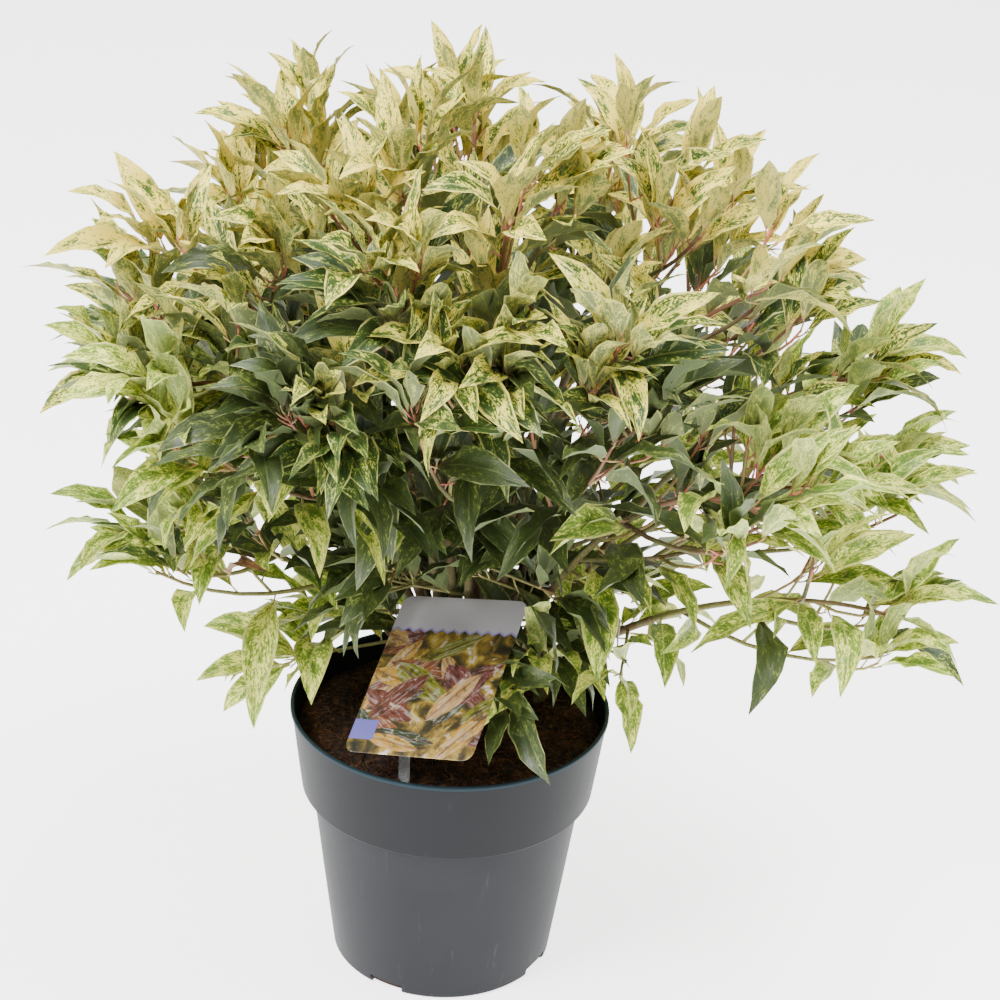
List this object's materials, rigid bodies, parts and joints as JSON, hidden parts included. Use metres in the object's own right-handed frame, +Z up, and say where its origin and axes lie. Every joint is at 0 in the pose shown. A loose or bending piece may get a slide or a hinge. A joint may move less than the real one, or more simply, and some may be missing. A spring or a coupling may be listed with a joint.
{
  "type": "potted rainbow leucothoe shrub",
  "caption": "Evergreen shrub with arching canes and long drooping leaves marbled cream and green, standing in a round nursery pot of soil with a leaning plant tag.",
  "frame": {"origin": "centre of the pot's flat underside, on the surface that the pot stands on", "axes": "+Z up, +X to the right and +Y to the back as seen from the side that the plant tag faces"},
  "size_m": [0.5964, 0.5091, 0.6115],
  "materials": {
    "pot": "slate grey moulded plastic, faintly ribbed, matte",
    "soil": "dark peat with brown fibres and bark bits",
    "label_card": "printed card with a soft leaf-like pattern and no lettering",
    "label_stake": "clear-grey plastic strip",
    "cane": "smooth tan to grey-brown bark with leaf scars",
    "foliage": "leathery leaves marbled cream, yellow and green on red to green twigs"
  },
  "bodies": {
    "root": {"pot": "pot", "soil": "soil", "label_card": "label_card", "label_stake": "label_stake", "cane_01": "cane", "cane_02": "cane", "cane_03": "cane", "cane_04": "cane", "cane_05": "cane", "cane_06": "cane", "cane_07": "cane", "cane_08": "cane", "cane_09": "cane", "cane_10": "cane", "cane_11": "cane", "cane_12": "cane", "cane_13": "cane", "cane_14": "cane", "cane_15": "cane", "cane_16": "cane", "cane_17": "cane", "cane_18": "cane", "cane_19": "cane", "cane_20": "cane", "cane_21": "cane", "cane_22": "cane", "cane_23": "cane", "cane_24": "cane", "cane_25": "cane", "cane_26": "cane", "foliage_01": "foliage", "foliage_02": "foliage", "foliage_03": "foliage", "foliage_04": "foliage", "foliage_05": "foliage", "foliage_06": "foliage", "foliage_07": "foliage", "foliage_08": "foliage", "foliage_09": "foliage", "foliage_10": "foliage", "foliage_11": "foliage", "foliage_12": "foliage", "foliage_13": "foliage", "foliage_14": "foliage", "foliage_15": "foliage", "foliage_16": "foliage", "foliage_17": "foliage", "foliage_18": "foliage", "foliage_19": "foliage", "foliage_20": "foliage", "foliage_21": "foliage", "foliage_22": "foliage", "foliage_23": "foliage", "foliage_24": "foliage", "foliage_25": "foliage", "foliage_26": "foliage"}
  },
  "joints": []
}
